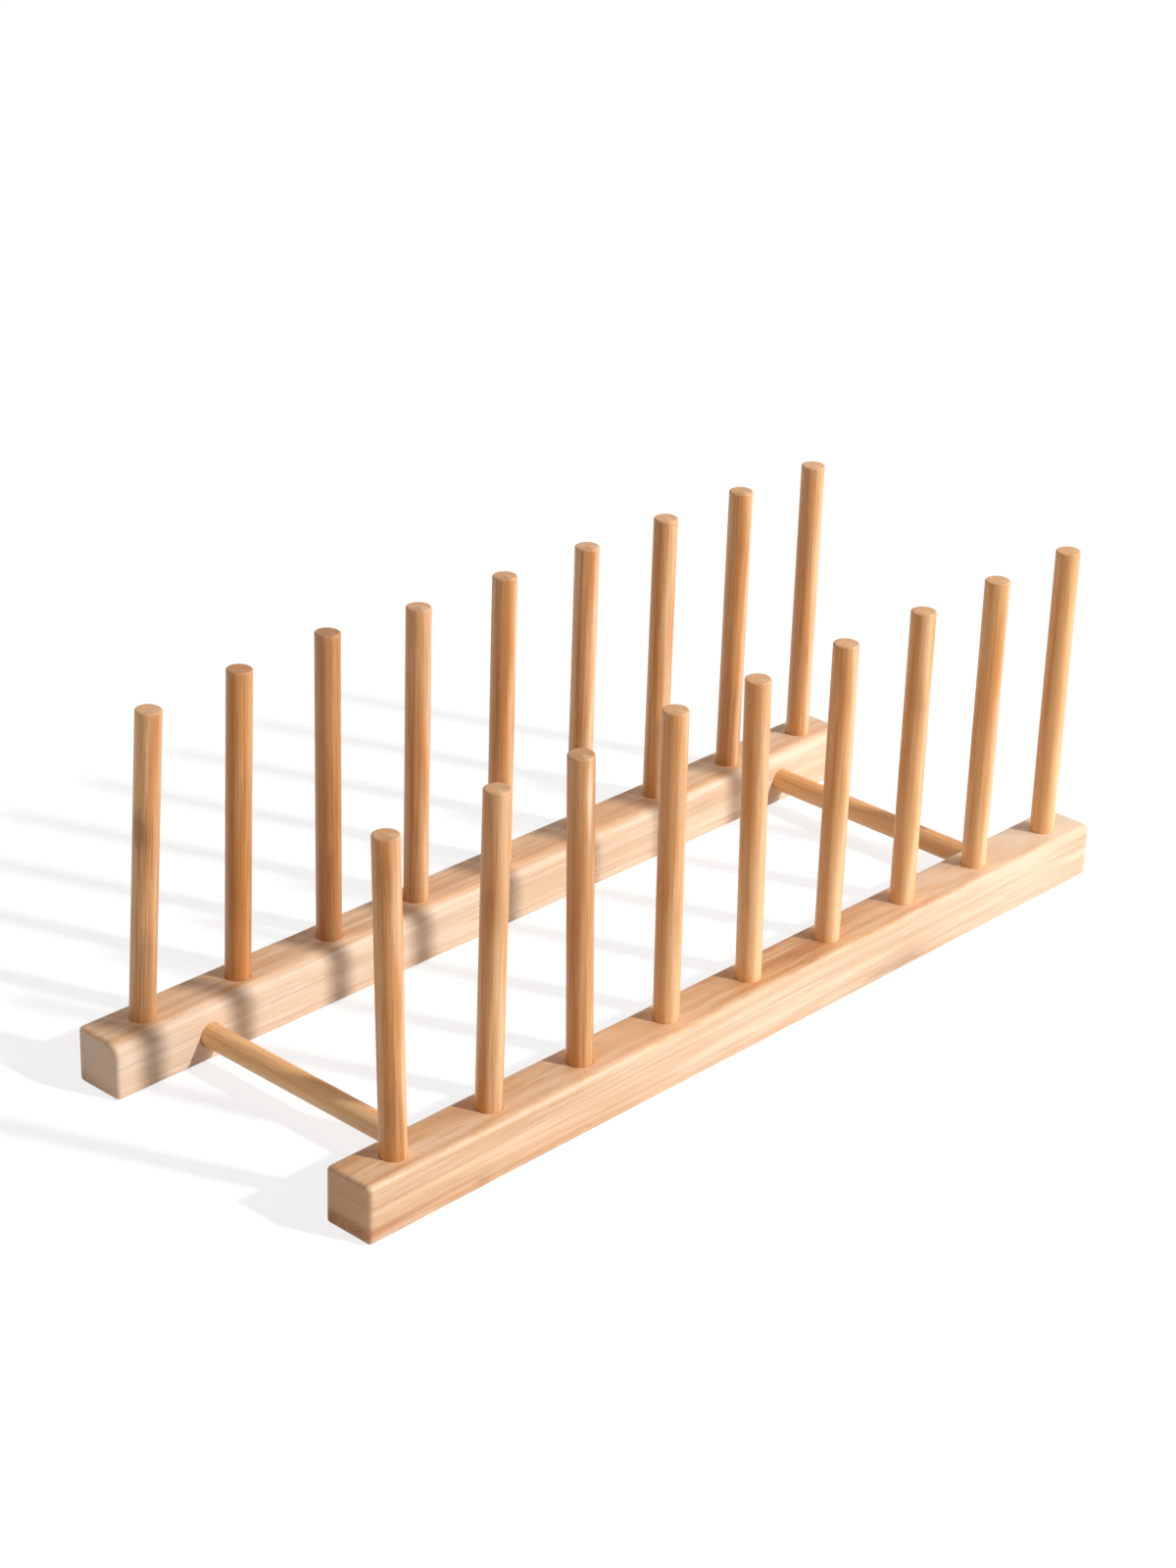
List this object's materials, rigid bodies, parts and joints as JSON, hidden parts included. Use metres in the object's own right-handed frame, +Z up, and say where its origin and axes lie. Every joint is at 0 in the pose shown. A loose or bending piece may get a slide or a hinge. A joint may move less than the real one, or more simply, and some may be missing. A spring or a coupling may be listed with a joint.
{
  "type": "pot lid rack",
  "caption": "Low free-standing rack: two laminated bamboo rails joined by cross dowels, with upright round pegs that hold pot lids or plates on edge.",
  "frame": {"origin": "middle of the rack's footprint, on the tabletop", "axes": "+X along the rails, towards the end that is far in the picture; -Y towards the front rail; +Z up"},
  "size_m": [0.34, 0.1284, 0.1224],
  "materials": {
    "rail_bamboo": "sanded laminated bamboo, clear satin oil",
    "peg_bamboo": "turned bamboo, clear satin oil",
    "dowel_bamboo": "turned bamboo, clear satin oil"
  },
  "bodies": {
    "root": {"front_rail": "rail_bamboo", "back_rail": "rail_bamboo", "front_peg_1": "peg_bamboo", "front_peg_2": "peg_bamboo", "front_peg_3": "peg_bamboo", "front_peg_4": "peg_bamboo", "front_peg_5": "peg_bamboo", "front_peg_6": "peg_bamboo", "front_peg_7": "peg_bamboo", "front_peg_8": "peg_bamboo", "front_peg_9": "peg_bamboo", "back_peg_1": "peg_bamboo", "back_peg_2": "peg_bamboo", "back_peg_3": "peg_bamboo", "back_peg_4": "peg_bamboo", "back_peg_5": "peg_bamboo", "back_peg_6": "peg_bamboo", "back_peg_7": "peg_bamboo", "back_peg_8": "peg_bamboo", "back_peg_9": "peg_bamboo", "near_cross_dowel": "dowel_bamboo", "far_cross_dowel": "dowel_bamboo"}
  },
  "joints": []
}
